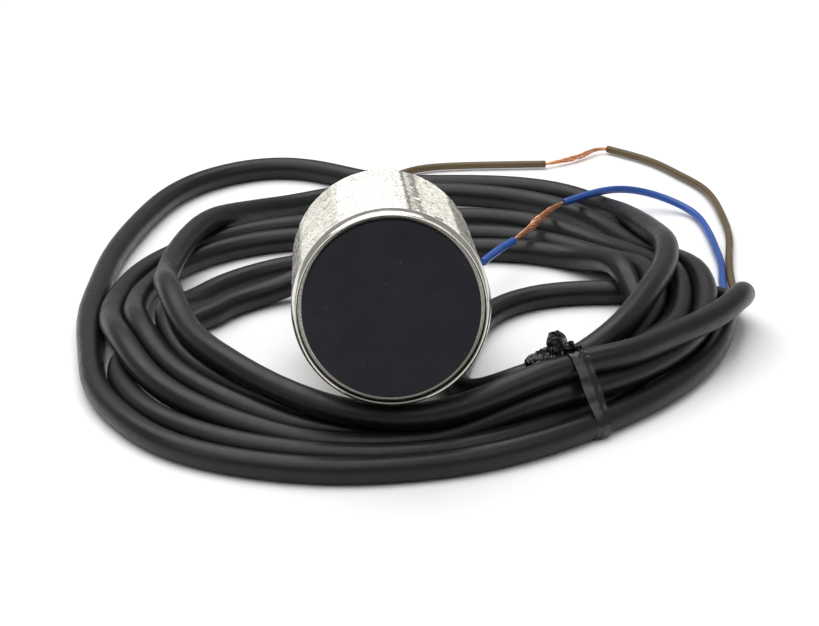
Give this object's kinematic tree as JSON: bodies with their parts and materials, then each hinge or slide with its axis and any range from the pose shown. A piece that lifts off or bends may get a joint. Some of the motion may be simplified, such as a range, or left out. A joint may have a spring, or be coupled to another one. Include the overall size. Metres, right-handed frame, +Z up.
{
  "type": "inductive proximity sensor",
  "caption": "Cylindrical inductive proximity sensor with a fully threaded metal barrel, a flush black sensing face and a coiled two-core lead held by a twist tie.",
  "frame": {"origin": "on the floor, under the centre of the barrel (bounding box of the sensor without its cord)", "axes": "+Z up; the sensing face looks to -Y, tipped up 11 degrees as it rests on its own coil; +X to the right seen from the face"},
  "size_m": [0.1195, 0.1609, 0.0385],
  "materials": {
    "nickel": "nickel-plated brass, satin",
    "black_plastic": "matte moulded plastic",
    "grey_plastic": "matte moulded plastic",
    "rubber": "matte rubber",
    "ferrite": "sintered ferrite",
    "bobbin": "natural moulded plastic",
    "copper": "bare copper",
    "board_green": "solder-masked laminate",
    "chip": "moulded epoxy",
    "ceramic": "fired ceramic",
    "capacitor": "sleeved can",
    "trimmer": "moulded plastic",
    "led_red": "tinted epoxy lens",
    "resin": "cast potting resin",
    "steel": "formed steel",
    "jacket": "semi-matte PVC jacket",
    "brown": "PVC insulation",
    "blue": "PVC insulation",
    "tie_black": "glossy plastic ribbon"
  },
  "bodies": {
    "root": {"housing_barrel": "nickel", "front_cap": "black_plastic", "front_oring": "rubber", "rear_cap": "grey_plastic", "rear_oring": "rubber", "cable_gland": "rubber", "ferrite_core": "ferrite", "coil_bobbin": "bobbin", "coil_winding": "copper", "coil_lead_left": "copper", "coil_lead_right": "copper", "circuit_board": "board_green", "oscillator_ic": "chip", "output_thyristor": "chip", "bridge_rectifier": "chip", "trim_resistor": "trimmer", "smoothing_capacitor": "capacitor", "status_led": "led_red", "chip_resistor_1": "ceramic", "chip_resistor_2": "ceramic", "chip_resistor_3": "ceramic", "chip_resistor_4": "ceramic", "potting_plug": "resin", "cable_clamp": "steel", "inner_wire_brown": "brown", "inner_wire_blue": "blue", "cord_lead": "jacket", "cord_coil": "jacket", "cord_inner_loop": "jacket", "core_brown": "brown", "core_blue": "blue", "strands_brown": "copper", "strands_blue": "copper", "slug_brown": "brown", "slug_blue": "blue", "tie_band": "tie_black", "tie_twist": "tie_black", "tie_tail_front": "tie_black", "tie_tail_rear": "tie_black"}
  },
  "joints": []
}
